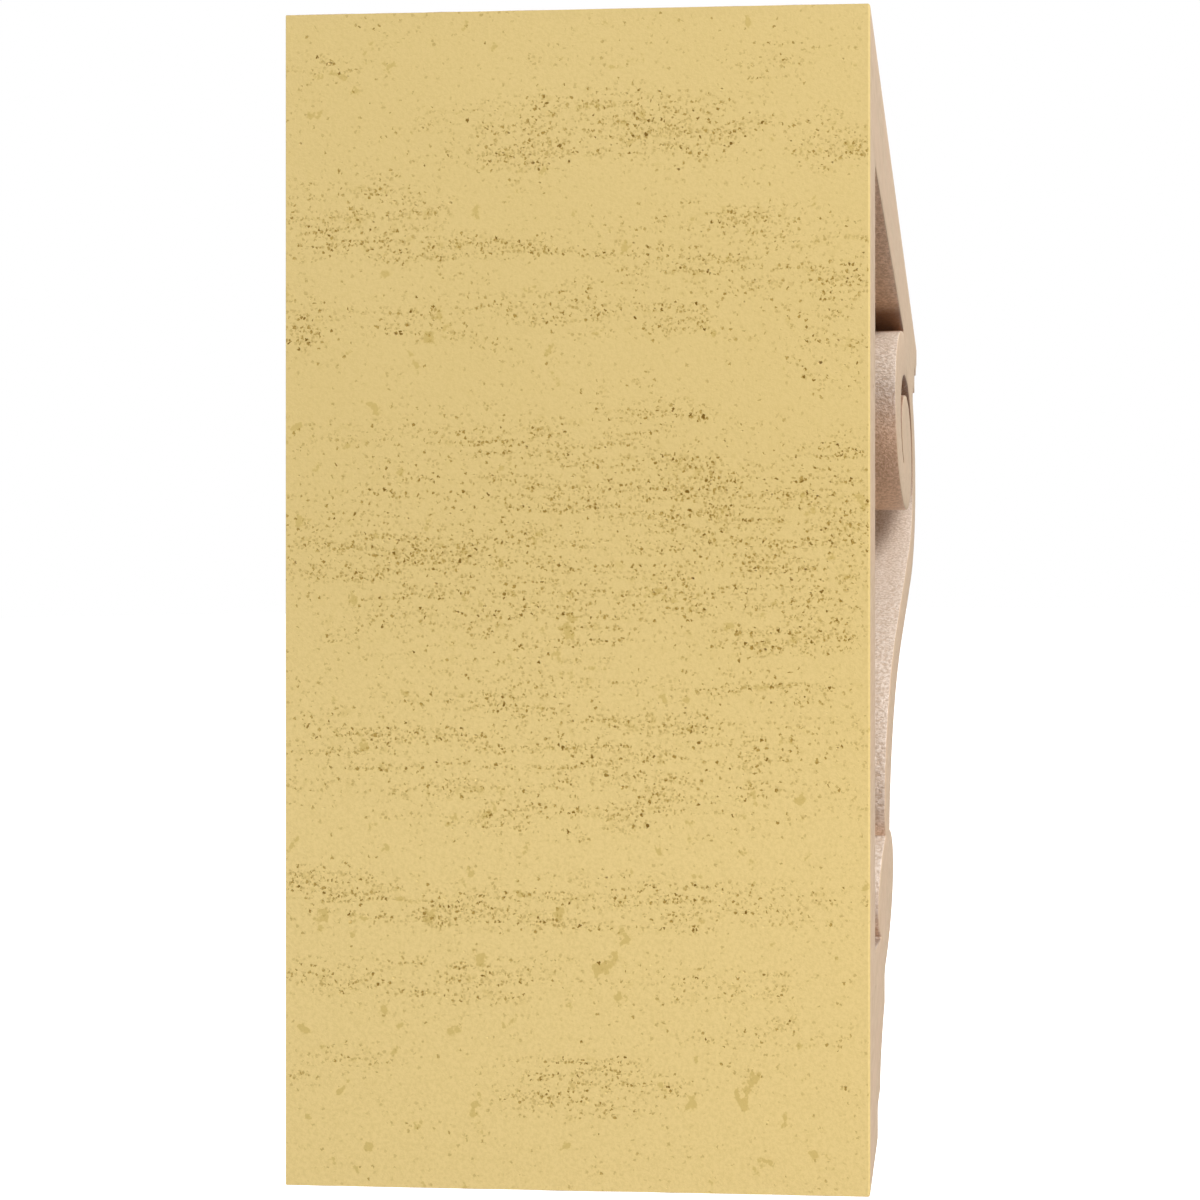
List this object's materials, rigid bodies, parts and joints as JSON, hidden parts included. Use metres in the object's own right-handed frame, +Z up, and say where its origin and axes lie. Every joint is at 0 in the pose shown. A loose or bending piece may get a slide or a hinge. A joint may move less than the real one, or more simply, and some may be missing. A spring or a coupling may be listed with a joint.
{
  "type": "corbel",
  "caption": "Scroll-cut wall corbel in moulded foam: flat back, moulded top, open spiral volute, S-shaped band and stepped foot.",
  "frame": {"origin": "centre of the flat wall face", "axes": "+Y into the wall, -Y out into the room, +Z up, X across the width"},
  "size_m": [0.1524, 0.1524, 0.3048],
  "materials": {
    "moulded_foam": "primed tan moulded skin with fine wood grain, raw yellow-tan foam on the wall face"
  },
  "bodies": {
    "root": {"corbel": "moulded_foam"}
  },
  "joints": []
}
